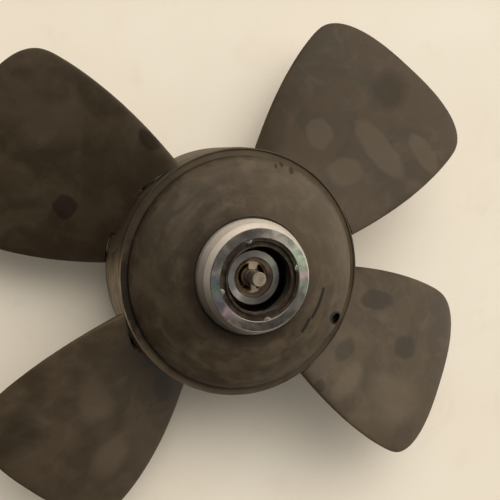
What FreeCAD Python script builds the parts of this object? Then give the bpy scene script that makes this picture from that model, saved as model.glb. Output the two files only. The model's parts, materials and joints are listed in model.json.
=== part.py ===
import FreeCAD, Part
import math
import os

# Four-bladed controllable-pitch boat propeller.
# Z is the propeller axis, the tail cap stands on z = 0 and the drive socket faces +Z.
# The blades turn about four spindles that lie in the plane z = spindle_z.

os.makedirs("parts", exist_ok=True)
doc = FreeCAD.newDocument("propeller")
sheet = doc.addObject("Spreadsheet::Sheet", "dims")

DIMS = {
    # blades and spindles
    "tip_x": 148.6,
    "spindle_z": 45.0,
    "narrow_angle": 75.0,
    "pitch_root": 37.3,
    "pitch_tip": 43.5,
    "trailing_half_w": 47.7,
    "leading_half_w": 47.0,
    "corner_x": 126.0,
    "blade_root_t": 15.0,
    "blade_mid_t": 5.6,
    "blade_tip_t": 2.6,
    "root_fade_x": 92.0,
    "palm_r": 13.0,
    "palm_x": 50.0,
    "trunnion_r": 8.0,
    "trunnion_x": 27.0,
    "trailing_taper": 0.0112,
    "leading_taper": 0.0086,
    "trailing_power": 2.5,
    "leading_power": 2.6,
    "overhang_gap": 0.5,
    "lip_relief_r": 16.3,
    # hub
    "ball_r": 63.2,
    "hub_r": 61.7,
    "hub_z0": 28.0,
    "hub_z1": 63.0,
    "lip_r": 61.3,
    "lip_z0": 61.5,
    "lip_z1": 66.0,
    "rim_r": 60.7,
    "ledge_z": 65.2,
    "pad_r": 22.0,
    "cavity_r": 31.0,
    "palm_bore_r": 13.4,
    "bush_r": 11.0,
    "bush_x0": 27.2,
    "bush_x1": 46.6,
    "run_fit": 0.04,
    # front cover
    "cover_z": 67.2,
    "cover_r": 57.3,
    "cover_rise": 13.2,
    "spigot_r": 46.5,
    "spigot_z": 57.5,
    "boss_r": 34.0,
    "boss_z": 76.5,
    "foot_z": 77.6,
    "ring_seat_z": 66.0,
    # bearing ring and seal
    "ring_r": 27.8,
    "ring_waist_r": 26.3,
    "ring_face_r": 24.1,
    "ring_bore_r": 19.5,
    "ring_step_z": 81.0,
    "ring_taper_z": 81.3,
    "ring_waist_z": 86.7,
    "ring_top_z": 90.9,
    "lock_r": 2.75,
    "lock_pcd_r": 54.0,
    "lock_angle": -35.2,
    "seal_bore_r": 15.7,
    "seal_top_z": 90.2,
    # hollow shaft
    "tube_r": 12.9,
    "tube_bore_r": 7.8,
    "tube_mouth_r": 9.75,
    "tube_z0": 7.0,
    "tube_z1": 81.8,
    "pilot_z": 75.0,
    "snap_w": 1.5,
    "snap_depth": 0.6,
    "key_z0": 59.0,
    "key_z1": 70.0,
    "flange_r": 20.0,
    "flange_z": 32.0,
    # pitch mechanism
    "rod_r": 3.5,
    "rod_body_r": 7.74,
    "rod_top_z": 89.6,
    "rod_end_z": 80.3,
    "rod_groove_w": 1.0,
    "rod_groove_depth": 0.4,
    "guide_z0": 72.0,
    "guide_z1": 78.2,
    "crank_disc_r": 12.5,
    "crank_radius": 9.0,
    "crank_pin_r": 3.0,
    "crank_x0": 22.0,
    "crosshead_x": 20.0,
    "crosshead_r": 26.0,
    "crosshead_half_z": 9.0,
    "slot_half": 3.05,
    "pin_r": 2.5,
    # tail
    "cover_plate_z": 20.0,
    "plate_pcd_r": 48.0,
    "tail_top_r": 41.0,
    "tail_end_r": 33.0,
    "tail_pcd_r": 27.0,
}
for row, (alias, value) in enumerate(DIMS.items(), start=1):
    sheet.set("A%d" % row, alias)
    sheet.set("B%d" % row, str(value))
    sheet.setAlias("B%d" % row, alias)
doc.recompute()


def dim(alias):
    return float(sheet.get(alias))


def bound(text):
    """Turns a size given in sheet names into an expression on the sheet."""
    out = text
    for alias in sorted(DIMS, key=len, reverse=True):
        out = out.replace(alias, "@%d@" % list(DIMS).index(alias))
    for index, alias in enumerate(DIMS):
        out = out.replace("@%d@" % index, "dims." + alias)
    return out


def size(text):
    """The value, in mm, of a size given in sheet names."""
    return float(doc.dims.evalExpression(bound(text).replace("dims.", "")))


counter = [0]


def primitive(kind, sizes, z=None, placement=None):
    """A Part primitive whose sizes, and whose height z on the axis, follow the sheet."""
    counter[0] += 1
    obj = doc.addObject("Part::" + kind, "%s_%d" % (kind.lower(), counter[0]))
    if placement is not None:
        obj.Placement = placement
    for prop, text in sizes.items():
        obj.setExpression(prop, bound(str(text)))
    if z is not None:
        obj.setExpression("Placement.Base.z", bound(z))
    return obj


def disc(r, z0, z1):
    return primitive("Cylinder", {"Radius": r, "Height": "(%s) - (%s)" % (z1, z0)}, z=z0)


def cone(r0, r1, z0, z1):
    sizes = {"Radius1": r0, "Radius2": r1, "Height": "(%s) - (%s)" % (z1, z0)}
    return primitive("Cone", sizes, z=z0)


def on_spindle(angle, x0, tangent="0", rise="0"):
    """A frame whose Z runs outwards along the spindle at the given angle."""
    turn = FreeCAD.Rotation(FreeCAD.Vector(0, 0, 1), angle)
    out = turn.multiply(FreeCAD.Rotation(FreeCAD.Vector(0, 1, 0), 90))
    base = turn.multVec(FreeCAD.Vector(size(x0), size(tangent), 0))
    base.z = dim("spindle_z") + size(rise)
    return FreeCAD.Placement(base, out)


def radial(angle, r, x0, x1, tangent="0"):
    """A cylinder along a spindle, from x0 to x1 out from the propeller axis."""
    a = "%.6f deg" % angle
    obj = primitive("Cylinder", {"Radius": r, "Height": "(%s) - (%s)" % (x1, x0)},
                    placement=on_spindle(angle, x0, tangent))
    obj.setExpression("Placement.Base.x", bound("(%s) * cos(%s) - (%s) * sin(%s)" % (x0, a, tangent, a)))
    obj.setExpression("Placement.Base.y", bound("(%s) * sin(%s) + (%s) * cos(%s)" % (x0, a, tangent, a)))
    obj.setExpression("Placement.Base.z", bound("spindle_z"))
    return obj


def upright(r, z0, z1, pcd, angle):
    """A cylinder parallel to the axis, at radius pcd and the given angle."""
    a = "%.6f deg" % angle
    obj = disc(r, z0, z1)
    obj.setExpression("Placement.Base.x", bound("(%s) * cos(%s)" % (pcd, a)))
    obj.setExpression("Placement.Base.y", bound("(%s) * sin(%s)" % (pcd, a)))
    return obj


def block(angle, x0, x1, half_y, z0, z1):
    """A box turned about the axis, centred across its width."""
    turn = FreeCAD.Rotation(FreeCAD.Vector(0, 0, 1), angle)
    sizes = {"Length": "(%s) - (%s)" % (x1, x0), "Width": "2 * (%s)" % half_y,
             "Height": "(%s) - (%s)" % (z1, z0)}
    base = turn.multVec(FreeCAD.Vector(size(x0), -size(half_y), 0))
    return primitive("Box", sizes, z=z0, placement=FreeCAD.Placement(base, turn))


def cut(body, tools):
    counter[0] += 1
    if len(tools) > 1:
        joined = doc.addObject("Part::MultiFuse", "tools_%d" % counter[0])
        joined.Shapes = tools
        tool = joined
    else:
        tool = tools[0]
    out = doc.addObject("Part::Cut", "cut_%d" % counter[0])
    out.Base = body
    out.Tool = tool
    return out


def fuse(shapes):
    counter[0] += 1
    out = doc.addObject("Part::MultiFuse", "fuse_%d" % counter[0])
    out.Shapes = shapes
    out.Refine = True
    return out


def common(a, b):
    counter[0] += 1
    out = doc.addObject("Part::Common", "common_%d" % counter[0])
    out.Base = a
    out.Tool = b
    return out


def group(shapes):
    counter[0] += 1
    out = doc.addObject("Part::Compound", "group_%d" % counter[0])
    out.Links = shapes
    return out


nodes = []


def node(name, obj):
    """Names a finished piece; only these are written out."""
    obj.Label = name
    nodes.append(obj)
    return obj


def hexagon(across_flats, z0, z1, pcd="0", angle=0):
    """A six-sided prism parallel to the axis, at radius pcd and the given angle."""
    counter[0] += 1
    a = "%.6f deg" % angle
    prism = doc.addObject("Part::Prism", "prism_%d" % counter[0])
    prism.Polygon = 6
    prism.Circumradius = across_flats / math.sqrt(3)
    prism.setExpression("Height", bound("(%s) - (%s)" % (z1, z0)))
    prism.setExpression("Placement.Base.x", bound("(%s) * cos(%s)" % (pcd, a)))
    prism.setExpression("Placement.Base.y", bound("(%s) * sin(%s)" % (pcd, a)))
    prism.setExpression("Placement.Base.z", bound(z0))
    return prism


half = dim("narrow_angle") / 2
SPINDLES = [half, 180 - half, 180 + half, 360 - half]
SQUARE = [0, 90, 180, 270]

# hub body: a hollow drum with a ball-faced pad and a stepped bore for each blade,
# and a shallow rimmed ledge round the front cover
ball = common(primitive("Sphere", {"Radius": "ball_r"}, z="spindle_z"),
              disc("ball_r + 1", "hub_z0", "hub_z1"))
pads = [radial(angle, "pad_r", "50", "ball_r + 1") for angle in SPINDLES]
zone = common(ball, fuse([disc("hub_r", "hub_z0", "hub_z1")] + pads))
lip = cut(disc("lip_r", "lip_z0", "lip_z1"), [disc("rim_r", "ledge_z", "lip_z1 + 1"),
                                              disc("cover_r + 0.15", "lip_z0 - 1", "lip_z1")])
tools = [disc("cavity_r", "hub_z0 - 1", "hub_z1 + 1"), disc("spigot_r", "spigot_z", "hub_z1 + 1")]
for angle in SPINDLES:
    tools.append(radial(angle, "bush_r", "20", "palm_x + 1"))
    tools.append(radial(angle, "palm_bore_r", "palm_x - 0.2", "hub_r + 5"))
for angle in SQUARE:
    tools.append(upright("4", "hub_z0 - 1", "46.5", "plate_pcd_r", angle))
tools.append(upright("lock_r", "60.0", "hub_z1 + 1", "lock_pcd_r", dim("lock_angle")))
node("hub_body", cut(fuse([zone, lip]), tools))

# front cover: a shallow dome with a screwed spigot and a boss for the bearing ring
dome = primitive("Ellipsoid", {"Radius1": "cover_rise", "Radius2": "cover_r", "Radius3": "cover_r"},
                 z="cover_z")
dome.Angle1 = 0
dome.Angle2 = 90
skirt = disc("spigot_r", "spigot_z", "cover_z")
land = disc("cover_r", "hub_z1", "cover_z")
shell = cut(fuse([dome, skirt, land]), [cone("spigot_r - 5", "boss_r + 3", "spigot_z - 1", "73")])
boss = disc("boss_r", "ring_seat_z - 2", "boss_z")
lock_bore = upright("lock_r", "hub_z1 - 8", "90", "lock_pcd_r", dim("lock_angle"))
seal_land = cut(disc("spigot_r + 2.9", "hub_z1 - 1", "hub_z1 + 1.6"), [disc("spigot_r + 0.7", "50", "80")])
node("front_cover", cut(fuse([shell, boss]), [
    seal_land,
    disc("24", "60", "ring_seat_z + 1"),
    disc("ring_r", "ring_seat_z", "90"),
    disc("ring_r + 1.1", "foot_z", "90"),
    lock_bore,
]))
lock = upright("lock_r - 0.05", "60.2", "66", "lock_pcd_r", dim("lock_angle"))
node("cover_lock_screw", cut(lock, [hexagon(3.0, "63", "67", "lock_pcd_r", dim("lock_angle"))]))

# bearing ring: a turned bush that stands proud of the dome, with a seat for the seal
ring_outer = fuse([disc("ring_r", "ring_seat_z", "ring_taper_z"),
                   cone("ring_r", "ring_waist_r", "ring_taper_z", "ring_waist_z"),
                   cone("ring_waist_r", "ring_face_r + 0.4", "ring_waist_z", "ring_top_z - 0.4"),
                   cone("ring_face_r + 0.4", "ring_face_r", "ring_top_z - 0.4", "ring_top_z")])
ring = cut(ring_outer, [disc("ring_bore_r", "ring_step_z", "ring_top_z + 1"),
                        cone("ring_bore_r", "ring_bore_r + 0.4", "ring_top_z - 0.4", "ring_top_z"),
                        disc("17", "ring_seat_z - 1", "ring_step_z + 1")])
node("bearing_ring", ring)

# shaft seal: a cased lip seal
seal_body = disc("ring_bore_r", "ring_step_z", "seal_top_z")
seal_groove = cut(disc("ring_bore_r - 1.3", "seal_top_z - 1.2", "seal_top_z + 1"),
                  [disc("seal_bore_r + 1.0", "seal_top_z - 2", "seal_top_z + 2")])
node("shaft_seal", cut(seal_body, [
    disc("seal_bore_r", "ring_step_z + 4", "seal_top_z + 1"),
    disc("seal_bore_r + 1.6", "ring_step_z - 1", "ring_step_z + 4"),
    seal_groove,
]))

# hollow shaft: fixed through the hub, with a flange, a slot for the cross pin and a keyway
tube = fuse([disc("tube_r", "tube_z0", "tube_z1"), disc("flange_r", "hub_z0", "flange_z")])
snap_groove = cut(disc("tube_r + 1", "pilot_z - snap_w", "pilot_z"),
                  [disc("tube_r - snap_depth", "pilot_z - 2", "pilot_z + 1")])
node("hollow_shaft", cut(tube, [
    disc("tube_bore_r", "tube_z0 - 1", "tube_z1 + 1"),
    cone("tube_bore_r", "tube_mouth_r", "tube_z1 - 2.6", "tube_z1"),
    block(90, "-tube_r - 2", "tube_r + 2", "pin_r + 0.35",
          "spindle_z - pin_r - 3.2", "spindle_z + pin_r + 3.2"),
    block(90, "tube_r - 2.2", "tube_r + 2", "2", "key_z0", "key_z1"),
    snap_groove,
]))
node("drive_key", block(90, "tube_r - 2.2", "tube_r + 1.7", "2", "key_z0", "key_z1"))

# pitch rod: thin where it shows in the socket, full bore where the cross pin passes
rod_thin = fuse([disc("rod_r", "59", "rod_top_z - 0.35"),
                 cone("rod_r", "rod_r - 0.35", "rod_top_z - 0.35", "rod_top_z")])
rod_body = disc("rod_body_r", "28", "60")
rod_groove = cut(disc("rod_r + 1", "rod_end_z - rod_groove_w", "rod_end_z"),
                 [disc("rod_r - rod_groove_depth", "rod_end_z - 2", "rod_end_z + 1")])
node("pitch_rod", cut(fuse([rod_thin, rod_body]), [
    rod_groove,
    primitive("Cylinder", {"Radius": "pin_r", "Height": "40"}, placement=FreeCAD.Placement(
        FreeCAD.Vector(0, 20, dim("spindle_z")), FreeCAD.Rotation(FreeCAD.Vector(1, 0, 0), 90))),
]))
node("cross_pin", primitive("Cylinder", {"Radius": "pin_r", "Height": "49"}, placement=FreeCAD.Placement(
    FreeCAD.Vector(0, 24.5, dim("spindle_z")), FreeCAD.Rotation(FreeCAD.Vector(1, 0, 0), 90))))
guide_outer = cut(disc("tube_bore_r", "guide_z0", "guide_z1"), [disc("tube_bore_r - 1.1", "60", "85")])
guide_inner = disc("rod_r + 1.3", "guide_z0", "guide_z1 - 1")
lugs = [block(73, "rod_r", "tube_bore_r - 0.5", "2.2", "guide_z0", "guide_z1"),
        block(273, "rod_r", "tube_bore_r - 0.5", "1.3", "guide_z0", "guide_z1")]
node("rod_guide", cut(fuse([guide_outer, guide_inner] + lugs), [disc("rod_r + run_fit", "60", "85")]))

# crosshead: slides on the hollow shaft, one slotted face for each crank pin
head = disc("crosshead_r", "spindle_z - crosshead_half_z", "spindle_z + crosshead_half_z")
tools = [disc("tube_r + run_fit", "20", "80")]
for angle in SPINDLES:
    tools.append(block(angle, "crosshead_x", "40", "40", "20", "80"))
    tools.append(block(angle, "crosshead_x - 4.5", "crosshead_x + 1", "40",
                       "spindle_z - slot_half", "spindle_z + slot_half"))
tools.append(primitive("Cylinder", {"Radius": "pin_r", "Height": "70"}, placement=FreeCAD.Placement(
    FreeCAD.Vector(0, 35, dim("spindle_z")), FreeCAD.Rotation(FreeCAD.Vector(1, 0, 0), 90))))
node("crosshead", cut(head, tools))


# blades: a left-handed helical face with a lens section, rounded at the tip corners
def chord_half(x, side):
    """Width from the spindle line to the trailing (side 1) or leading (side -1) edge, at x out."""
    wide = dim("trailing_half_w" if side > 0 else "leading_half_w")
    corner = dim("corner_x")
    if x < corner:
        return wide - dim("trailing_taper" if side > 0 else "leading_taper") * (corner - x) ** 1.76
    ratio = (x - corner) / (dim("tip_x") - corner)
    power = dim("trailing_power" if side > 0 else "leading_power")
    return wide * (1 - ratio ** power) ** (1 / power)


def thickness(x):
    root = dim("blade_root_t")
    mid = dim("blade_mid_t")
    tip = dim("blade_tip_t")
    fade = dim("root_fade_x")
    if x < fade:
        return mid + (root - mid) * ((fade - x) / 38.0) ** 2.2
    flat = mid + (tip - mid) * (x - fade) / (dim("tip_x") - fade)
    ratio = max(0.0, (x - dim("corner_x")) / (dim("tip_x") - dim("corner_x")))
    return flat * math.sqrt(1 - ratio ** 8)


def face_height(x, y):
    """Height of the helical middle face above the spindle plane."""
    r = math.hypot(x, y)
    span = (r - 72) / 78.0
    pitch = dim("pitch_root") + (dim("pitch_tip") - dim("pitch_root")) * span
    return -math.atan2(y, x) * pitch + 0.045 * (r - 72) - 8.0 * span * span


INNER_STATIONS = [52, 58, 64, 70, 78, 88, 98, 108, 118]
TIP_ANGLES = [0, 15, 30, 45, 57, 67, 75, 81, 85]
STATIONS = INNER_STATIONS + [
    dim("corner_x") + (dim("tip_x") - dim("corner_x")) * math.sin(math.radians(a)) for a in TIP_ANGLES]
POINTS = 36


def blade_section(x):
    points = []
    for i in range(POINTS):
        phi = 2 * math.pi * i / POINTS
        y = chord_half(x, math.cos(phi)) * math.cos(phi)
        lens = math.copysign(abs(math.sin(phi)) ** 0.7, math.sin(phi))
        z = face_height(x, y) + thickness(x) / 2 * lens
        points.append(FreeCAD.Vector(x, y, z))
    curve = Part.BSplineCurve()
    params = [i / POINTS for i in range(POINTS + 1)]
    curve.interpolate(Points=points, PeriodicFlag=True, Parameters=params)
    return Part.Wire(curve.toShape())


def along_x(r, x0, x1):
    return Part.makeCylinder(r, x1 - x0, FreeCAD.Vector(x0, 0, 0), FreeCAD.Vector(1, 0, 0))


def lip_relief():
    """Space for the hub's lip under the leading half of a blade, through its whole turn."""
    lip_ball = math.hypot(dim("lip_r"), dim("lip_z1") - dim("spindle_z")) + dim("overhang_gap")
    leading_half = Part.makeBox(80, 60, 120, FreeCAD.Vector(20, -60, -60))
    return Part.makeSphere(lip_ball).common(leading_half).cut(along_x(dim("lip_relief_r"), 10, 90))


def blade_shape():
    vane = Part.makeLoft([blade_section(x) for x in STATIONS], True, False)
    clear = Part.makeSphere(dim("ball_r") + dim("overhang_gap"))
    clear = clear.cut(along_x(dim("palm_r") - 0.3, 20, 80))
    vane = vane.cut(clear)
    vane = vane.cut(lip_relief())
    palm = along_x(dim("palm_r"), dim("palm_x"), 70).common(Part.makeSphere(dim("hub_r")))
    stem = along_x(dim("trunnion_r"), dim("trunnion_x"), dim("palm_x") + 1)
    tongue = Part.makeBox(3, 2 * dim("trunnion_r"), 8, FreeCAD.Vector(24.4, -dim("trunnion_r"), -4))
    tongue = tongue.common(along_x(dim("trunnion_r"), 20, 30))
    shape = vane.fuse([palm, stem, tongue]).removeSplitter()
    shape = shape.cut(along_x(2.5, 20, 40))
    return shape.Solids[0] if len(shape.Solids) == 1 else shape


blade_blank = blade_shape()
for index, angle in enumerate(SPINDLES, start=1):
    blade = doc.addObject("Part::Feature", "blade_%d" % index)
    blade.Shape = blade_blank.copy()
    blade.Placement = FreeCAD.Placement(FreeCAD.Vector(0, 0, dim("spindle_z")),
                                        FreeCAD.Rotation(FreeCAD.Vector(0, 0, 1), angle))
    node("blade_%d" % index, blade)

# cranks: a slotted disc on the inner end of each trunnion, with an offset pin
for index, angle in enumerate(SPINDLES, start=1):
    plate = radial(angle, "crank_disc_r", "crank_x0", "trunnion_x")
    pin = radial(angle, "crank_pin_r", "crosshead_x - 4.2", "trunnion_x - 1", "crank_radius")
    tongue_slot = common(radial(angle, "trunnion_r", "trunnion_x - 2.6", "trunnion_x + 1"),
                         block(angle, "trunnion_x - 2.6", "trunnion_x + 1", "trunnion_r + 1",
                               "spindle_z - 4", "spindle_z + 4"))
    node("crank_%d" % index, cut(fuse([plate, pin]), [
        tongue_slot,
        radial(angle, "2.5", "crank_x0 - 1", "trunnion_x + 1"),
        radial(angle, "4.2", "crank_x0 - 1", "crank_x0 + 1.4"),
    ]))
for index, angle in enumerate(SPINDLES, start=1):
    screw = fuse([radial(angle, "4.1", "crank_x0 + 0.1", "crank_x0 + 1.4"),
                  radial(angle, "2.5", "crank_x0 + 1", "39.5")])
    node("crank_screw_%d" % index, cut(screw, [radial(angle, "1.6", "crank_x0 - 1", "crank_x0 + 3")]))

# bushes and seals of the spindles
bushes = [cut(radial(angle, "bush_r", "bush_x0", "bush_x1"),
              [radial(angle, "trunnion_r + run_fit", "bush_x0 - 1", "bush_x1 + 1")])
          for angle in SPINDLES]
node("trunnion_bushes", group(bushes))
rings = []
for angle in SPINDLES:
    rings.append(primitive("Torus", {"Radius1": "trunnion_r + 1.45", "Radius2": "1.4"},
                           placement=on_spindle(angle, "bush_x1 + 1.5")))
node("trunnion_seals", group(rings))

# rear cover plate, its seal and screws
plate_ball = primitive("Sphere", {"Radius": "ball_r - 0.4"}, z="spindle_z")
plate = common(plate_ball, disc("hub_r", "cover_plate_z", "hub_z0"))
tools = [disc("tube_r", "0", "40")]
for angle in SQUARE:
    tools.append(upright("4.3", "0", "40", "plate_pcd_r", angle))
    tools.append(upright("6.8", "0", "cover_plate_z + 4.4", "plate_pcd_r", angle))
    tools.append(upright("2.5", "0", "cover_plate_z + 6", "tail_pcd_r", angle + 45))
tools.append(cut(disc("39", "hub_z0 - 1.5", "hub_z0 + 1"), [disc("35.4", "0", "40")]))
node("rear_cover", cut(plate, tools))
node("rear_cover_seal", primitive("Torus", {"Radius1": "37.2", "Radius2": "0.75"}, z="hub_z0 - 0.75"))
screws = []
for angle in SQUARE:
    screw = fuse([upright("4", "cover_plate_z + 4", "46", "plate_pcd_r", angle),
                  upright("6.5", "cover_plate_z + 0.2", "cover_plate_z + 4.4", "plate_pcd_r", angle)])
    screws.append(cut(screw, [hexagon(6.0, "0", "cover_plate_z + 2.8", "plate_pcd_r", angle)]))
node("rear_cover_screws", group(screws))
node("front_cover_seal", primitive("Torus", {"Radius1": "spigot_r + 1.8", "Radius2": "0.8"},
                                   z="hub_z1 + 0.8"))

# shaft nut, washer and tail cap
node("shaft_washer", cut(disc("20", "cover_plate_z - 2", "cover_plate_z"), [disc("tube_r", "0", "40")]))
nut = common(hexagon(36.0, "cover_plate_z - 11", "cover_plate_z - 2"),
             fuse([disc("20.4", "cover_plate_z - 9.4", "cover_plate_z - 2"),
                   cone("18.4", "20.4", "cover_plate_z - 11", "cover_plate_z - 9.4")]))
node("shaft_nut", cut(nut, [disc("tube_r", "0", "40")]))
cap = fuse([cone("tail_end_r", "tail_end_r + 1.5", "0", "1.5"),
            cone("tail_end_r + 1.5", "tail_top_r", "1.5", "cover_plate_z")])
tools = [disc("22", "4", "cover_plate_z + 1")]
for angle in SQUARE:
    tools.append(upright("2.7", "-1", "cover_plate_z + 1", "tail_pcd_r", angle + 45))
    tools.append(upright("4.5", "-1", "5.4", "tail_pcd_r", angle + 45))
node("tail_cap", cut(cap, tools))
screws = []
for angle in SQUARE:
    screw = fuse([upright("2.5", "5", "cover_plate_z + 5.5", "tail_pcd_r", angle + 45),
                  upright("4.25", "1", "5.4", "tail_pcd_r", angle + 45)])
    screws.append(cut(screw, [hexagon(4.0, "0", "3.6", "tail_pcd_r", angle + 45)]))
node("tail_cap_screws", group(screws))

doc.recompute()

problems = []
for obj in doc.Objects:
    if "Invalid" in obj.State or "Error" in obj.State:
        problems.append("%s: %s" % (obj.Label, obj.State))
for obj in nodes:
    shape = obj.Shape
    if shape.isNull() or not shape.isValid() or not shape.Solids:
        problems.append("%s: no valid solid" % obj.Label)
    else:
        print("%-20s solids %d  volume %.1f" % (obj.Label, len(shape.Solids), shape.Volume))
if problems:
    raise RuntimeError("; ".join(problems))
for obj in nodes:
    obj.Shape.exportStep("parts/%s.step" % obj.Label)
print("written", len(nodes))
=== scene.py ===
import bmesh
import bpy
import json
import math
from mathutils import Matrix, Vector


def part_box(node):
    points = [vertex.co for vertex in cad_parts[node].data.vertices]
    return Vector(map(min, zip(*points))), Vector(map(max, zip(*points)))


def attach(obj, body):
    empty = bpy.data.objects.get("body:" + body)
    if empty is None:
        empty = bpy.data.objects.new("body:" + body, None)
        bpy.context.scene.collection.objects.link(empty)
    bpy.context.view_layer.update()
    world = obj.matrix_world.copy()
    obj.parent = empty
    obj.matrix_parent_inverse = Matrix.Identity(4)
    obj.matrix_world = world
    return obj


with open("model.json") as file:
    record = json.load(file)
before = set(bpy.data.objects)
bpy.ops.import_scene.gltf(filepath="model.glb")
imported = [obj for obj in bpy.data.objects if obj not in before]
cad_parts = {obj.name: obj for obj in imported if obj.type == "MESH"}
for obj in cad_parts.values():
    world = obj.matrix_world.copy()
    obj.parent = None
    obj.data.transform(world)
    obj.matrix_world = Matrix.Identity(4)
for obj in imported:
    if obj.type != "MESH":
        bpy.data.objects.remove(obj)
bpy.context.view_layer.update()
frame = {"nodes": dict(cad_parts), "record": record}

MM = 0.001

# ---------------------------------------------------------------- places, from the frame


def blade_angles():
    """The direction of each spindle about the propeller axis, in degrees, by the blade's number."""
    angles = {}
    for joint in frame["record"]["behaviour"]["joints"]:
        if joint["type"] == "hinge":
            number = joint["child"][-1]
            angles[number] = math.degrees(math.atan2(joint["axis"][1], joint["axis"][0]))
    return angles


def middle_mm(name):
    """The middle of a CAD piece's box, in millimetres."""
    low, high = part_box(name)
    return (low + high) / 2 / MM


BLADE_ANGLES = blade_angles()
RING_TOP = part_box("bearing_ring")[1][2]
SEAL_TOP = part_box("shaft_seal")[1][2]
SEAL_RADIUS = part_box("shaft_seal")[1][0]
LOCK_MIDDLE = middle_mm("cover_lock_screw")
LOCK_RADIUS = math.hypot(LOCK_MIDDLE.x, LOCK_MIDDLE.y)
LOCK_DEGREES = math.degrees(math.atan2(LOCK_MIDDLE.y, LOCK_MIDDLE.x))

# ---------------------------------------------------------------- camera

# The camera looks at LOOK_AT from LOOK_DISTANCE, and is rolled about its own line of sight.
LOOK_AT = Vector((12.1, 7.2, 45.0)) * MM
LOOK_DISTANCE = 437.1 * MM
LOOK_AZIMUTH = -116.68
LOOK_ELEVATION = 69.64
LOOK_ROLL = 107.58
LENS = 60.7
SENSOR_WIDTH = 36.0
CLIP_START = 0.01
CLIP_END = 20.0


def make_camera():
    data = bpy.data.cameras.new("camera")
    data.lens = LENS
    data.sensor_width = SENSOR_WIDTH
    data.clip_start = CLIP_START
    data.clip_end = CLIP_END
    camera = bpy.data.objects.new("camera", data)
    bpy.context.collection.objects.link(camera)
    a = math.radians(LOOK_AZIMUTH)
    e = math.radians(LOOK_ELEVATION)
    back = Vector((math.sin(a) * math.cos(e), -math.cos(a) * math.cos(e), math.sin(e)))
    turn = (-back).to_track_quat("-Z", "Y").to_matrix().to_4x4()
    roll = Matrix.Rotation(math.radians(LOOK_ROLL), 4, "Z")
    camera.matrix_world = Matrix.Translation(LOOK_AT + back * LOOK_DISTANCE) @ turn @ roll
    bpy.context.scene.camera = camera


make_camera()
bpy.context.scene.view_settings.view_transform = "Standard"

# ---------------------------------------------------------------- node building blocks

# The colour sockets of a Mix node, which has a set of sockets for each kind of data.
MIX_A = 6
MIX_B = 7
MIX_RESULT = 2


class Nodes:
    """A node tree, with short calls for linking and arithmetic."""

    def __init__(self, tree):
        self.nodes = tree.nodes
        self.links = tree.links

    def set(self, socket, value):
        """Link value to the socket if it is a socket too, or else make it the socket's constant."""
        if isinstance(value, bpy.types.NodeSocket):
            self.links.new(value, socket)
        else:
            socket.default_value = value

    def vector(self, operation, a, b, output="Vector"):
        node = self.nodes.new("ShaderNodeVectorMath")
        node.operation = operation
        self.set(node.inputs[0], a)
        self.set(node.inputs[1], b)
        return node.outputs[output]

    def math(self, operation, a, b=0.0, c=0.0):
        node = self.nodes.new("ShaderNodeMath")
        node.operation = operation
        for socket, value in zip(node.inputs, (a, b, c)):
            self.set(socket, value)
        return node.outputs["Value"]


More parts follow.
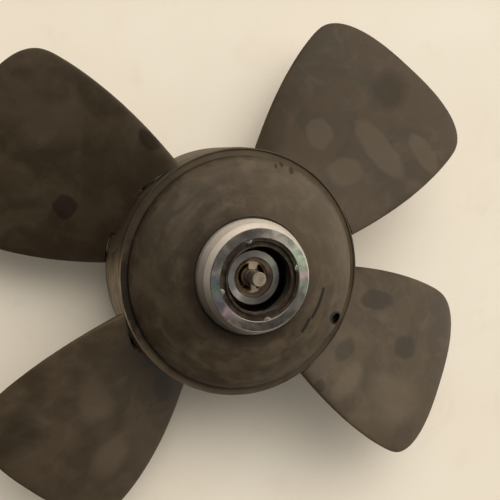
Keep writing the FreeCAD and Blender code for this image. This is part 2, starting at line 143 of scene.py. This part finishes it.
class Tree(Nodes):
    """A material's node tree, with the patterns and layers used here. Lengths are in millimetres."""

    def __init__(self, name):
        self.material = bpy.data.materials.new(name)
        self.material.use_nodes = True
        super().__init__(self.material.node_tree)
        self.shader = self.nodes["Principled BSDF"]
        coords = self.nodes.new("ShaderNodeTexCoord").outputs["Object"]
        self.mm = self.vector("MULTIPLY", coords, (1 / MM, 1 / MM, 1 / MM))

    def turned(self, coords, degrees):
        """Coordinates turned back about the propeller axis, so that X runs out along a spindle."""
        node = self.nodes.new("ShaderNodeVectorRotate")
        node.rotation_type = "Z_AXIS"
        node.inputs["Angle"].default_value = math.radians(-degrees)
        self.set(node.inputs["Vector"], coords)
        return node.outputs["Vector"]

    def parts(self, coords):
        node = self.nodes.new("ShaderNodeSeparateXYZ")
        self.set(node.inputs[0], coords)
        return node.outputs[0], node.outputs[1], node.outputs[2]

    def joined(self, x, y, z=0.0):
        node = self.nodes.new("ShaderNodeCombineXYZ")
        for socket, value in zip(node.inputs, (x, y, z)):
            self.set(socket, value)
        return node.outputs[0]

    def radius(self):
        """Distance from the propeller axis."""
        x, y, _ = self.parts(self.mm)
        square = self.math("ADD", self.math("MULTIPLY", x, x), self.math("MULTIPLY", y, y))
        return self.math("SQRT", square)

    def azimuth(self):
        """Angle about the axis, in degrees from -180 to 180."""
        x, y, _ = self.parts(self.mm)
        return self.math("MULTIPLY", self.math("ARCTAN2", y, x), 180.0 / math.pi)

    def texture(self, coords, scale):
        node = self.nodes.new("ShaderNodeTexNoise")
        node.inputs["Scale"].default_value = scale
        self.set(node.inputs["Vector"], coords)
        return node

    def noise(self, coords, size, detail=3.0, distortion=0.0):
        """Noise whose features are about size millimetres across."""
        node = self.texture(coords, 1.0 / size)
        node.inputs["Detail"].default_value = detail
        node.inputs["Distortion"].default_value = distortion
        node.inputs["Roughness"].default_value = 0.55
        return node.outputs["Fac"]

    def wobbled(self, coords, size):
        """Coordinates with a small random offset, which makes the outline of a mark uneven."""
        offset = self.vector("SUBTRACT", self.texture(self.mm, 0.12).outputs["Color"], (0.5, 0.5, 0.5))
        return self.vector("ADD", coords, self.vector("MULTIPLY", offset, (size, size, 0.0)))

    def between(self, value, low, high, out_low=0.0, out_high=1.0):
        """A smooth step of value from low to high."""
        node = self.nodes.new("ShaderNodeMapRange")
        node.interpolation_type = "SMOOTHSTEP"
        self.set(node.inputs["Value"], value)
        node.inputs["From Min"].default_value = low
        node.inputs["From Max"].default_value = high
        node.inputs["To Min"].default_value = out_low
        node.inputs["To Max"].default_value = out_high
        return node.outputs["Result"]

    def band(self, value, low, high, soft):
        """1 where value is between low and high, with soft edges."""
        rise = self.between(value, low - soft, low + soft)
        fall = self.between(value, high - soft, high + soft, 1.0, 0.0)
        return self.math("MULTIPLY", rise, fall)

    def spot(self, coords, centre, radii, degrees, soft):
        """1 inside an oval in the plane of the first two coordinates, with a soft rim."""
        x, y, _ = self.parts(coords)
        c = math.cos(math.radians(degrees))
        s = math.sin(math.radians(degrees))
        dx = self.math("SUBTRACT", x, centre[0])
        dy = self.math("SUBTRACT", y, centre[1])
        along = self.math("ADD", self.math("MULTIPLY", dx, c / radii[0]),
                          self.math("MULTIPLY", dy, s / radii[0]))
        across = self.math("SUBTRACT", self.math("MULTIPLY", dy, c / radii[1]),
                           self.math("MULTIPLY", dx, s / radii[1]))
        square = self.math("ADD", self.math("MULTIPLY", along, along), self.math("MULTIPLY", across, across))
        return self.between(square, 1.0 - soft, 1.0 + soft, 1.0, 0.0)

    def mix(self, factor, a, b, blend="MIX"):
        node = self.nodes.new("ShaderNodeMix")
        node.data_type = "RGBA"
        node.blend_type = blend
        self.set(node.inputs["Factor"], factor)
        self.set(node.inputs[MIX_A], a)
        self.set(node.inputs[MIX_B], b)
        return node.outputs[MIX_RESULT]

    def over(self, color, mask, strength, top):
        """Color with top laid over it where mask is 1, at the given strength."""
        return self.mix(self.math("MULTIPLY", mask, strength), color, top)

    def tinted(self, color, tint):
        return self.mix(1.0, color, tint, "MULTIPLY")

    def ramp(self, factor, stops):
        node = self.nodes.new("ShaderNodeValToRGB")
        self.set(node.inputs["Fac"], factor)
        elements = node.color_ramp.elements
        while len(elements) < len(stops):
            elements.new(0.5)
        for element, (place, color) in zip(elements, stops):
            element.position = place
            element.color = color
        return node.outputs["Color"]

    def bump(self, height, strength, distance, before=None):
        node = self.nodes.new("ShaderNodeBump")
        node.inputs["Strength"].default_value = strength
        node.inputs["Distance"].default_value = distance * MM
        self.set(node.inputs["Height"], height)
        if before is not None:
            self.set(node.inputs["Normal"], before)
        return node.outputs["Normal"]

    def finish(self, color, roughness, normal, metallic=0.0, specular=0.5):
        self.set(self.shader.inputs["Base Color"], color)
        self.set(self.shader.inputs["Roughness"], roughness)
        self.set(self.shader.inputs["Normal"], normal)
        self.set(self.shader.inputs["Metallic"], metallic)
        self.set(self.shader.inputs["Specular IOR Level"], specular)
        return self.material


def grey(value, warm=0.0):
    return (value * (1 + warm), value, value * (1 - warm), 1.0)


def polar(radius, degrees):
    a = math.radians(degrees)
    return (radius * math.cos(a), radius * math.sin(a))


# ---------------------------------------------------------------- the moulded dark composite

DARK = (0.044, 0.0315, 0.0185, 1.0)
MID = (0.062, 0.0460, 0.0285, 1.0)
PALE = (0.106, 0.0820, 0.0550, 1.0)
# A pale tone, used as painted light on the hub's band.
PAINTED_LIGHT_TONE = (0.300, 0.235, 0.160, 1.0)
# Near-black, for dirt and also for painted shade.
DIRT_AND_SHADE = (0.012, 0.008, 0.005, 1.0)
COMPOSITE_SPECULAR = 0.19
# How far each step of a seed moves the patterns, in millimetres.
SEED_STEP = Vector((137.0, 59.0, 83.0))


def composite(name, seed, marks=None, stain=1.0):
    """Matt, stained composite; marks(tree, color) paints what is particular to one piece."""
    tree = Tree(name)
    here = tree.vector("ADD", tree.mm, SEED_STEP * seed)
    clouds = tree.noise(here, 26.0, 4.0, 0.8)
    patches = tree.noise(here, 12.0, 3.0, 0.6)
    stains = tree.noise(here, 15.0, 3.0, 1.2)
    specks = tree.noise(here, 2.2, 2.0)
    color = tree.mix(tree.between(clouds, 0.38, 0.60), DARK, MID)
    color = tree.over(color, tree.between(patches, 0.48, 0.74), 0.35 * stain, PALE)
    color = tree.over(color, tree.between(stains, 0.54, 0.74), 0.5 * stain, DARK)
    color = tree.over(color, tree.between(specks, 0.64, 0.78), 0.4, DIRT_AND_SHADE)
    if marks is not None:
        color = marks(tree, color)
    waves = tree.bump(tree.noise(here, 14.0, 1.0), 0.25, 0.35)
    grain = tree.bump(tree.noise(here, 0.5, 2.0), 0.20, 0.06, waves)
    roughness = tree.between(clouds, 0.3, 0.7, 0.48, 0.62)
    return tree.finish(color, roughness, grain, specular=COMPOSITE_SPECULAR)


# Finger marks and smudges of each blade, and on blade 2 a wide oval of painted shade: an oval's middle along
# and across the spindle, its radii, its tilt in degrees, and how soft its rim is.
PALE_SPOTS = {
    "1": [((84.7, 12.3), (8.2, 6.6), 45, 0.3), ((100, -14.7), (18, 7), 78, 0.3),
          ((115.6, -34), (12, 5.5), 74, 0.4), ((77.6, -9.2), (9, 7), -37, 0.4)],
    "2": [((112, -20), (16, 10), 30, 0.9)],
    "3": [((96, -4), (18, 8), 60, 0.9), ((112, 22), (12, 8), 20, 0.9)],
    "4": [((118, -21), (17, 13), 0, 0.9), ((84, -24), (12, 6), 60, 0.8)],
}
DARK_SPOTS = {
    "1": [((128.5, 0.5), (11.5, 9), 0, 0.8)],
    # Blade 2's last oval, the widest, is painted shade over most of the blade.
    "2": [((88.1, 12.0), (5.8, 5.6), 0, 0.2), ((71.5, -34), (5.5, 3.4), -15, 0.3),
          ((88, -8), (44, 50), 0, 1.4)],
    "3": [((68, 18), (9, 5), 60, 0.6), ((130, -26), (14, 9), 20, 0.9), ((104, 8), (14, 7), -20, 0.9)],
    "4": [((115.1, 7.9), (7.5, 6.5), 30, 0.6), ((89, 23.8), (11, 5), 25, 0.4),
          ((76.8, -9.6), (8, 4.5), 60, 0.5), ((67.3, -31.9), (4, 3), 0, 0.3)],
}
SPOT_WOBBLE = 4.0
PALE_SPOT_STRENGTH = 0.45
# A soft smudge is fainter than a sharp one.
DARK_SPOT_STRENGTH = 0.70
DARK_SPOT_FADE = 0.35


def blade_marks(number):
    """A function that paints the marks of one blade, and the painted shade over blade 2."""

    def marks(tree, color):
        ragged = tree.wobbled(tree.turned(tree.mm, BLADE_ANGLES[number]), SPOT_WOBBLE)
        for centre, radii, degrees, soft in PALE_SPOTS[number]:
            mask = tree.spot(ragged, centre, radii, degrees, soft)
            color = tree.over(color, mask, PALE_SPOT_STRENGTH, PALE)
        for centre, radii, degrees, soft in DARK_SPOTS[number]:
            mask = tree.spot(ragged, centre, radii, degrees, soft)
            color = tree.over(color, mask, DARK_SPOT_STRENGTH - DARK_SPOT_FADE * soft, DIRT_AND_SHADE)
        return color

    return marks


# Radii on the dome over which its darkening at the bearing ring's foot fades, and over which the dirt of the
# rim grows.
FOOT_DARKENING = (29.0, 36.0)
RIM_DIRT = (60.2, 61.6)
# Azimuths on the dome, in degrees: the side painted darker as painted shade, both ways round from +X, and the
# side painted lighter as painted light.
PAINTED_SHADE_SIDE = (95.0, 150.0)
PAINTED_LIGHT_SIDE = (-25.0, 75.0)
# Two scored arcs, end to end: how much the radius grows per degree clockwise, the inner and outer
# radius at azimuth 0, and the azimuths of the ends.
SCORES = [(0.0, (38.4, 40.1), (-43.5, -19.0)), (0.1237, (32.1, 33.8), (-55.5, -43.5))]
SCORE_EDGE_SOFT = 0.4
SCORE_END_SOFT = 1.0
# Painted shade round the lock screw's hole, which makes the hole look larger, is an oval set a little nearer
# the axis than the hole.
LOCK_SHADE_INWARD = 0.3
LOCK_SHADE_RADII = (4.6, 3.5)
LOCK_SHADE_SOFT = 0.25
# Small pits: azimuth, radius and size.
PITS = [(62.8, 56.5, 1.6), (57.0, 55.3, 1.9), (66.0, 54.5, 1.2)]
PIT_FLATNESS = 0.7


def cover_dirt_and_shading(tree, color, r, a):
    """Turning streaks, darkening at the ring's foot, dirt along the rim, painted shade on one side and
    painted light on the other.
    """
    streaks = tree.noise(tree.joined(r, tree.math("MULTIPLY", a, 0.25)), 5.0, 3.0, 0.6)
    color = tree.over(color, tree.between(streaks, 0.48, 0.74), 0.4, DIRT_AND_SHADE)
    color = tree.over(color, tree.between(streaks, 0.50, 0.30), 0.4, PALE)
    # The dome is painted darker towards the bearing ring's foot.
    color = tree.over(color, tree.between(r, *FOOT_DARKENING, 1.0, 0.0), 0.6, DIRT_AND_SHADE)
    ragged = tree.math("MULTIPLY_ADD", tree.noise(tree.mm, 7.0, 4.0), 9.0, r)
    color = tree.over(color, tree.between(ragged, *RIM_DIRT), 0.35, DIRT_AND_SHADE)
    # Painted shade on the dome's side away from the light, and painted light on its lit side.
    color = tree.over(color, tree.between(tree.math("ABSOLUTE", a), *PAINTED_SHADE_SIDE), 0.30, DIRT_AND_SHADE)
    return tree.over(color, tree.band(a, *PAINTED_LIGHT_SIDE, 25.0), 0.35, PALE)


def cover_scores(tree, color, r, a):
    scores = 0.0
    for growth, radii, azimuths in SCORES:
        arc = tree.band(tree.math("MULTIPLY_ADD", a, growth, r), *radii, SCORE_EDGE_SOFT)
        arc = tree.math("MULTIPLY", arc, tree.band(a, *azimuths, SCORE_END_SOFT))
        scores = tree.math("MAXIMUM", arc, scores)
    return tree.mix(scores, color, DIRT_AND_SHADE)


def cover_marks(tree, color):
    """Dirt and worn streaks of the dome, its painted light and shade, its scored arcs, and the painted shade
    round the lock screw's hole.
    """
    r = tree.radius()
    a = tree.azimuth()
    color = cover_dirt_and_shading(tree, color, r, a)
    color = cover_scores(tree, color, r, a)
    # Painted shade round the lock screw's hole, which makes the hole look larger.
    lock_place = polar(LOCK_RADIUS - LOCK_SHADE_INWARD, LOCK_DEGREES)
    lock_shade = tree.spot(tree.mm, lock_place, LOCK_SHADE_RADII, LOCK_DEGREES, LOCK_SHADE_SOFT)
    color = tree.mix(lock_shade, color, DIRT_AND_SHADE)
    for angle, distance, size in PITS:
        pit = tree.spot(tree.mm, polar(distance, angle), (size, size * PIT_FLATNESS), angle, 0.5)
        color = tree.over(color, pit, 0.8, DIRT_AND_SHADE)
    return color


# Heights on the hub: the band that is painted paler, partly as wear and partly as painted light, and where
# the ledge behind the dome's rim begins.
BAND_HEIGHTS = (34.0, 66.5)
LEDGE_HEIGHTS = (64.6, 65.1)
# The ledge ends at the lip that stands round it.
LIP_RADII = (60.5, 60.8)
# Azimuths on the hub, in degrees: the side of the band painted palest as painted light, both ways round from
# +X; the painted shadow at the root of blade 2; and where the ledge is painted darkest, both ways round.
PAINTED_LIT_SIDE = (156.0, 174.0)
PAINTED_ROOT_SHADOW = (112.0, 162.0)
LEDGE_DARKENING = (168.0, 190.0)


def hub_marks(tree, color):
    """The band is painted paler, partly as rubbing and partly as painted light, palest on the -X side where
    the ledge is painted dark; the root of blade 2 carries a painted shadow.
    """
    _, _, z = tree.parts(tree.mm)
    a = tree.azimuth()
    away = tree.math("ABSOLUTE", a)
    band_noise = tree.noise(tree.vector("MULTIPLY", tree.mm, (1.0, 1.0, 3.0)), 9.0, 3.0)
    wear_and_light = tree.math("MULTIPLY", tree.band(z, *BAND_HEIGHTS, 4.0), tree.between(band_noise, 0.3, 0.6, 0.35, 0.9))
    color = tree.mix(wear_and_light, color, PALE)
    # Painted light: the band is painted palest on its lit side.
    color = tree.over(color, wear_and_light, tree.between(away, *PAINTED_LIT_SIDE), PAINTED_LIGHT_TONE)
    # Painted shadow of blade 2 on the hub round its root.
    color = tree.over(color, tree.band(a, *PAINTED_ROOT_SHADOW, 10.0), 0.55, DIRT_AND_SHADE)
    # The ledge is painted dark, thickest on the -X side.
    inside_lip = tree.between(tree.radius(), *LIP_RADII, 1.0, 0.0)
    ledge = tree.math("MULTIPLY", inside_lip, tree.between(z, *LEDGE_HEIGHTS))
    ragged = tree.math("MULTIPLY_ADD", tree.noise(tree.mm, 6.0, 4.0), 40.0, away)
    return tree.over(color, ledge, tree.between(ragged, *LEDGE_DARKENING, 0.05, 0.95), DIRT_AND_SHADE)


# ---------------------------------------------------------------- turned steel

RUST = (0.11, 0.062, 0.032, 1.0)
BORE_GLINT = (0.60, 0.48, 0.34, 1.0)
# Where the ring's flat face ends and its outer cone begins.
FACE_RADIUS = 24.2
FACE_SOFT = 0.4
# The inner edge of the tube's end, inside which it is stained.
RUST_RADIUS = 9.2
RUST_SOFT = 0.6
# The stretch of that inner edge that carries a painted highlight, by share of a turn from the -X side.
BORE_GLINT_TURN = (0.52, 0.76)
# Painted reflection: how bright the ring's turned face is painted, by share of a turn from the -X side.
FACE_PAINTED_REFLECTION = [(0.0, 0.40), (0.06, 0.44), (0.10, 0.74), (0.145, 0.70), (0.19, 0.46), (0.33, 0.36),
              (0.42, 0.40), (0.455, 0.80), (0.48, 1.0), (0.69, 0.95), (0.735, 0.42), (0.78, 0.30),
              (1.0, 0.40)]
# The same painted reflection for the ring's outer cone.
CONE_PAINTED_REFLECTION = [(0.0, 0.36), (0.08, 0.22), (0.16, 0.20), (0.22, 0.45), (0.30, 0.40), (0.42, 0.35), (0.60, 0.80),
              (0.70, 0.95), (0.80, 1.0), (0.88, 0.85), (0.93, 0.55), (1.0, 0.36)]
# The same painted reflection for the end of the tube.
TUBE_PAINTED_REFLECTION = [(0.0, 0.50), (0.08, 0.70), (0.13, 1.0), (0.20, 0.90), (0.29, 0.50), (0.42, 0.38), (0.54, 0.45),
              (0.60, 0.95), (0.68, 0.90), (0.78, 0.50), (0.90, 0.36), (1.0, 0.50)]
# The painted rainbow sheen of fine turning, by share of a turn from the -X side.
TURNED_PAINTED_SHEEN = [
    (0.0, (0.62, 0.88, 0.70, 1)), (0.044, (0.68, 0.74, 0.97, 1)), (0.094, (0.94, 0.70, 0.88, 1)),
    (0.144, (0.95, 0.90, 0.84, 1)), (0.414, (0.92, 0.92, 0.90, 1)), (0.459, (0.60, 0.86, 0.74, 1)),
    (0.479, (0.96, 0.68, 0.78, 1)), (0.514, (0.72, 0.95, 0.74, 1)), (0.584, (0.80, 0.98, 0.84, 1)),
    (0.654, (1.0, 0.97, 0.92, 1)), (0.95, (0.90, 0.90, 0.92, 1)), (0.976, (0.58, 0.76, 0.95, 1)),
    (1.0, (0.62, 0.88, 0.70, 1))]
# How fast the turning rings repeat, in radians per millimetre.
TURNING_PITCH = 11.0
# The cone is rougher than the face, and it and the rust are less of a mirror.
CONE_ROUGHER = 0.16
DULL_METALLIC = -0.45
TURNED_ANISOTROPY = 0.65


def radial_tangent(tree):
    node = tree.nodes.new("ShaderNodeTangent")
    node.direction_type = "RADIAL"
    node.axis = "Z"
    return node.outputs["Tangent"]


def turning_rings(tree, r):
    """Fine turning rings, as a wave that runs across the faces and along the cylinders."""
    wander = tree.noise(tree.mm, 6.0, 2.0)
    _, _, z = tree.parts(tree.mm)
    phase = tree.math("ADD", tree.math("MULTIPLY", r, TURNING_PITCH),
                      tree.math("MULTIPLY", z, TURNING_PITCH))
    return tree.math("SINE", tree.math("ADD", phase, tree.math("MULTIPLY", wander, 2.0)))


def painted_reflection(tree, color, turn, cone, rainbow, reflection_sweep):
    """Painted reflection: bright and dark sectors of a turned piece, with a painted rainbow sheen on its
    face.
    """
    face = tree.mix(rainbow, color, tree.tinted(color, tree.ramp(turn, TURNED_PAINTED_SHEEN)))
    face = tree.tinted(face, tree.ramp(turn, [(place, grey(share)) for place, share in reflection_sweep]))
    side = tree.tinted(color, tree.ramp(turn, [(place, grey(share, 0.05)) for place, share in CONE_PAINTED_REFLECTION]))
    return tree.mix(cone, face, side)


def turned_steel(name, base, rough, smear, rainbow=0.0, reflection_sweep=FACE_PAINTED_REFLECTION, rusty=False):
    """Bright turned steel. A rainbow above 0 gives it painted sectors of reflection and a painted rainbow
    sheen; rusty stains its bore's edge, with a painted highlight on one stretch of it.
    """
    tree = Tree(name)
    r = tree.radius()
    rings = turning_rings(tree, r)
    color = tree.mix(tree.between(rings, -1.0, 1.0, 0.0, 0.18), grey(base, 0.03), grey(base * 0.72, 0.06))
    turn = tree.math("MULTIPLY_ADD", tree.azimuth(), 1.0 / 360.0, 0.5)
    cone = tree.between(r, FACE_RADIUS, FACE_RADIUS + FACE_SOFT)
    if rainbow > 0:
        color = painted_reflection(tree, color, turn, cone, rainbow, reflection_sweep)
    smears = tree.noise(tree.mm, 5.0, 3.0, 0.5)
    color = tree.mix(tree.between(smears, 0.5, 0.8, 0.0, smear), color, grey(base * 0.5, 0.12))
    clean = tree.between(smears, 0.3, 0.8, rough, rough + 0.14)
    roughness = tree.math("MULTIPLY_ADD", cone, CONE_ROUGHER, clean)
    dull = cone
    if rusty:
        ragged = tree.math("MULTIPLY_ADD", smears, 0.8, r)
        rust = tree.between(ragged, RUST_RADIUS, RUST_RADIUS + RUST_SOFT, 1.0, 0.0)
        # The rusty edge carries a painted highlight along one stretch.
        stained = tree.mix(tree.band(turn, *BORE_GLINT_TURN, 0.04), RUST, BORE_GLINT)
        color = tree.over(color, rust, 0.85, stained)
        roughness = tree.math("MAXIMUM", roughness, tree.math("MULTIPLY", rust, 0.6))
        dull = tree.math("MAXIMUM", cone, rust)
    tree.shader.inputs["Anisotropic"].default_value = TURNED_ANISOTROPY
    tree.set(tree.shader.inputs["Tangent"], radial_tangent(tree))
    metallic = tree.math("MULTIPLY_ADD", dull, DULL_METALLIC, 1.0)
    return tree.finish(color, roughness, tree.bump(rings, 0.04, 0.01), metallic)


# ---------------------------------------------------------------- machined metal and rubber

STEEL_TINT = (0.50, 0.475, 0.44, 1.0)
BRONZE_TINT = (0.62, 0.44, 0.22, 1.0)
CROSSHEAD_TINT = (0.16, 0.11, 0.07, 1.0)
ROD_TINT = (0.38, 0.335, 0.27, 1.0)
GUIDE_TINT = (0.20, 0.135, 0.08, 1.0)
LOCK_TINT = (0.06, 0.04, 0.025, 1.0)
LUG_TINT = (0.62, 0.53, 0.41, 1.0)
# Azimuths of the rod guide's two lugs, in degrees.
LUG_AZIMUTHS = [(50.0, 100.0), (-104.0, -70.0)]
RUBBER_DARK = (0.018, 0.011, 0.007, 1.0)
RUBBER_PALE = (0.045, 0.030, 0.019, 1.0)
RUBBER_SPECULAR = 0.3


def machined(name, tint, rough=0.38, dirt=0.35, marks=None):
    """Duller machined metal with oil stains, for what sits inside and for the fasteners."""
    tree = Tree(name)
    clouds = tree.noise(tree.mm, 7.0, 4.0, 0.6)
    scratches = tree.noise(tree.vector("MULTIPLY", tree.mm, (1.0, 1.0, 9.0)), 1.6, 3.0)
    dull = tuple(c * 0.55 for c in tint[:3]) + (1.0,)
    color = tree.mix(tree.between(clouds, 0.35, 0.7), tint, dull)
    color = tree.over(color, tree.between(clouds, 0.62, 0.75), dirt, DIRT_AND_SHADE)
    color = tree.mix(tree.between(scratches, 0.62, 0.8, 0.0, 0.3), color, grey(0.8))
    if marks is not None:
        color = marks(tree, color)
    roughness = tree.between(clouds, 0.3, 0.7, rough, rough + 0.2)
    return tree.finish(color, roughness, tree.bump(scratches, 0.15, 0.03), metallic=1.0)


def lug_marks(tree, color):
    """The two lugs of the rod guide are given a lighter colour."""
    a = tree.azimuth()
    first, second = (tree.band(a, low, high, 8.0) for low, high in LUG_AZIMUTHS)
    return tree.over(color, tree.math("MAXIMUM", first, second), 0.85, LUG_TINT)


def rubber(name):
    """Dark brown nitrile, faintly ringed and greasy."""
    tree = Tree(name)
    rings = tree.math("SINE", tree.math("MULTIPLY", tree.radius(), 6.0))
    grease = tree.noise(tree.mm, 4.0, 3.0, 0.6)
    color = tree.mix(tree.between(grease, 0.4, 0.7), RUBBER_DARK, RUBBER_PALE)
    roughness = tree.between(grease, 0.35, 0.7, 0.36, 0.62)
    normal = tree.bump(grease, 0.3, 0.15, tree.bump(rings, 0.2, 0.08))
    return tree.finish(color, roughness, normal, specular=RUBBER_SPECULAR)


# ---------------------------------------------------------------- which piece has which material


def own_materials():
    """The materials of the pieces that have one to themselves, by node."""
    own = {
        "hub_body": composite("hub_composite", 1, hub_marks),
        "front_cover": composite("cover_composite", 2, cover_marks, stain=1.3),
        "rear_cover": composite("rear_composite", 3),
        "tail_cap": composite("tail_composite", 4),
        "bearing_ring": turned_steel("ring_steel", 0.84, 0.26, 0.10, rainbow=0.85),
        "hollow_shaft": turned_steel("tube_steel", 0.80, 0.28, 0.15, rainbow=0.5, reflection_sweep=TUBE_PAINTED_REFLECTION,
                                     rusty=True),
        "cover_lock_screw": machined("lock_steel", LOCK_TINT, 0.6, 0.8),
        "pitch_rod": machined("rod_steel", ROD_TINT, 0.5, 0.3),
        "rod_guide": machined("guide_steel", GUIDE_TINT, 0.45, 0.5, lug_marks),
        "crosshead": machined("crosshead_bronze", CROSSHEAD_TINT, 0.5, 0.7),
        "shaft_seal": rubber("seal_rubber"),
    }
    for number in BLADE_ANGLES:
        name = "blade_composite_" + number
        own["blade_" + number] = composite(name, 5 + int(number), blade_marks(number), stain=0.8)
    return own


def paint_pieces():
    """Give each node its own material, or the one that its slot shares."""
    own = own_materials()
    steel = machined("fastener_steel", STEEL_TINT)
    shared = {"bronze": machined("bronze", BRONZE_TINT, 0.34, 0.25), "seal_rubber": rubber("ring_rubber")}
    slots = {part["node"]: part["material_slot"] for part in frame["record"]["subparts"]}
    for name, node in frame["nodes"].items():
        chosen = own.get(name) or shared.get(slots[name], steel)
        if not node.data.materials:
            node.data.materials.append(chosen)
        for index in range(len(node.data.materials)):
            node.data.materials[index] = chosen


paint_pieces()

# ---------------------------------------------------------------- stakes that hold the seal

# Azimuths of the four stakes and half the width of each, in degrees.
STAKE_DEGREES = (5.7, 98.7, 186.7, 272.7)
STAKE_HALF = 5.6
STAKE_STEPS = 10
# How far a stake reaches in over the seal at its middle and at its ends.
STAKE_REACH = 1.5 * MM
STAKE_END_REACH = 0.15 * MM
# How far it stands clear of the seal and of the ring's bore, and how much its top slopes.
STAKE_OVER_SEAL = 0.03 * MM
STAKE_OFF_BORE = 0.02 * MM
STAKE_SLOPE = 0.1 * MM


def stake_profile(mesh, degrees, share):
    """The four corners of a stake's section, at share of the way across it from -1 to 1."""
    a = math.radians(degrees + STAKE_HALF * share)
    swell = 1.0 - share * share
    outer = SEAL_RADIUS - STAKE_OFF_BORE
    inner = SEAL_RADIUS - STAKE_END_REACH - STAKE_REACH * swell
    low = SEAL_TOP + STAKE_OVER_SEAL
    crest = low + (RING_TOP - low) * (0.35 + 0.4 * swell)
    corners = ((outer, low), (outer, crest), (inner, crest - STAKE_SLOPE), (inner, low))
    return [mesh.verts.new((r * math.cos(a), r * math.sin(a), z)) for r, z in corners]


def make_stake(number, degrees, steel):
    """A burr of the ring's edge punched over the seal."""
    mesh = bmesh.new()
    rows = [stake_profile(mesh, degrees, 2.0 * i / STAKE_STEPS - 1.0) for i in range(STAKE_STEPS + 1)]
    for before, after in zip(rows, rows[1:]):
        for i in range(4):
            mesh.faces.new((before[i], before[(i + 1) % 4], after[(i + 1) % 4], after[i]))
    mesh.faces.new(rows[0][::-1])
    mesh.faces.new(rows[-1])
    bmesh.ops.recalc_face_normals(mesh, faces=mesh.faces)
    data = bpy.data.meshes.new("seal_stake_%d" % number)
    mesh.to_mesh(data)
    mesh.free()
    data.materials.append(steel)
    piece = bpy.data.objects.new("seal_stake_%d" % number, data)
    bpy.context.collection.objects.link(piece)
    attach(piece, "hub")


def make_stakes():
    steel = turned_steel("stake_steel", 0.24, 0.42, 0.3)
    for number, degrees in enumerate(STAKE_DEGREES, start=1):
        make_stake(number, degrees, steel)


make_stakes()

# ---------------------------------------------------------------- light and floor

LIGHT_COLOR = (1.0, 0.93, 0.82, 1.0)
BACKDROP = (0.80, 0.74, 0.64, 1.0)
# Broad soft lights: elevation and azimuth in degrees, and strength.
SOFT_LIGHTS = [(50, 88, 5.8), (40, 36, 2.8), (8, 0, 4.8), (8, 300, 1.2), (8, 60, 0.8), (8, 330, 0.5),
               (30, 190, 0.3)]
LIGHT_SHARPNESS = 14.0
FLOOR_HALF = 3.0
FLOOR_PAINT = (0.79, 0.735, 0.645, 1.0)
FLOOR_PALE = (0.84, 0.795, 0.715, 1.0)
FLOOR_STAIN = (0.74, 0.67, 0.57, 1.0)
FLOOR_SPECK = (0.72, 0.64, 0.53, 1.0)
FLOOR_ROUGHNESS = 0.6


def lobe(tree, direction, elevation, azimuth, strength):
    """Brightness that falls off smoothly around one direction."""
    x, y = polar(math.cos(math.radians(elevation)), azimuth)
    toward = (x, y, math.sin(math.radians(elevation)))
    closeness = tree.vector("DOT_PRODUCT", direction, toward, "Value")
    power = tree.math("MULTIPLY_ADD", closeness, LIGHT_SHARPNESS, -LIGHT_SHARPNESS)
    return tree.math("MULTIPLY", tree.math("EXPONENT", power), strength)


def make_world():
    """Soft lights all round, and a plain backdrop where the camera sees past the floor."""
    world = bpy.data.worlds.new("world")
    bpy.context.scene.world = world
    world.use_nodes = True
    tree = Nodes(world.node_tree)
    direction = tree.nodes.new("ShaderNodeTexCoord").outputs["Generated"]
    total = 0.0
    for elevation, azimuth, strength in SOFT_LIGHTS:
        total = tree.math("ADD", lobe(tree, direction, elevation, azimuth, strength), total)
    light = tree.nodes["Background"]
    tree.set(light.inputs["Color"], LIGHT_COLOR)
    tree.set(light.inputs["Strength"], total)
    backdrop = tree.nodes.new("ShaderNodeBackground")
    tree.set(backdrop.inputs["Color"], BACKDROP)
    choose = tree.nodes.new("ShaderNodeMixShader")
    tree.set(choose.inputs["Fac"], tree.nodes.new("ShaderNodeLightPath").outputs["Is Camera Ray"])
    tree.set(choose.inputs[1], light.outputs[0])
    tree.set(choose.inputs[2], backdrop.outputs[0])
    tree.set(tree.nodes["World Output"].inputs["Surface"], choose.outputs[0])


def floor_material():
    """Pale paint with wide clouds, stains and fine specks."""
    tree = Tree("floor_paint")
    clouds = tree.noise(tree.mm, 160.0, 3.0, 0.4)
    stains = tree.noise(tree.mm, 34.0, 4.0, 1.0)
    fine = tree.noise(tree.mm, 9.0, 3.0)
    color = tree.mix(tree.between(clouds, 0.3, 0.7), FLOOR_PAINT, FLOOR_PALE)
    color = tree.mix(tree.between(stains, 0.55, 0.75, 0.0, 0.30), color, FLOOR_STAIN)
    color = tree.mix(tree.between(fine, 0.6, 0.8, 0.0, 0.30), color, FLOOR_SPECK)
    return tree.finish(color, FLOOR_ROUGHNESS, tree.bump(fine, 0.1, 0.1))


def make_floor():
    mesh = bpy.data.meshes.new("floor")
    corners = [(x * FLOOR_HALF, y * FLOOR_HALF, 0) for x, y in ((-1, -1), (1, -1), (1, 1), (-1, 1))]
    mesh.from_pydata(corners, [], [(0, 1, 2, 3)])
    mesh.materials.append(floor_material())
    floor = bpy.data.objects.new("floor", mesh)
    bpy.context.collection.objects.link(floor)


make_world()
make_floor()
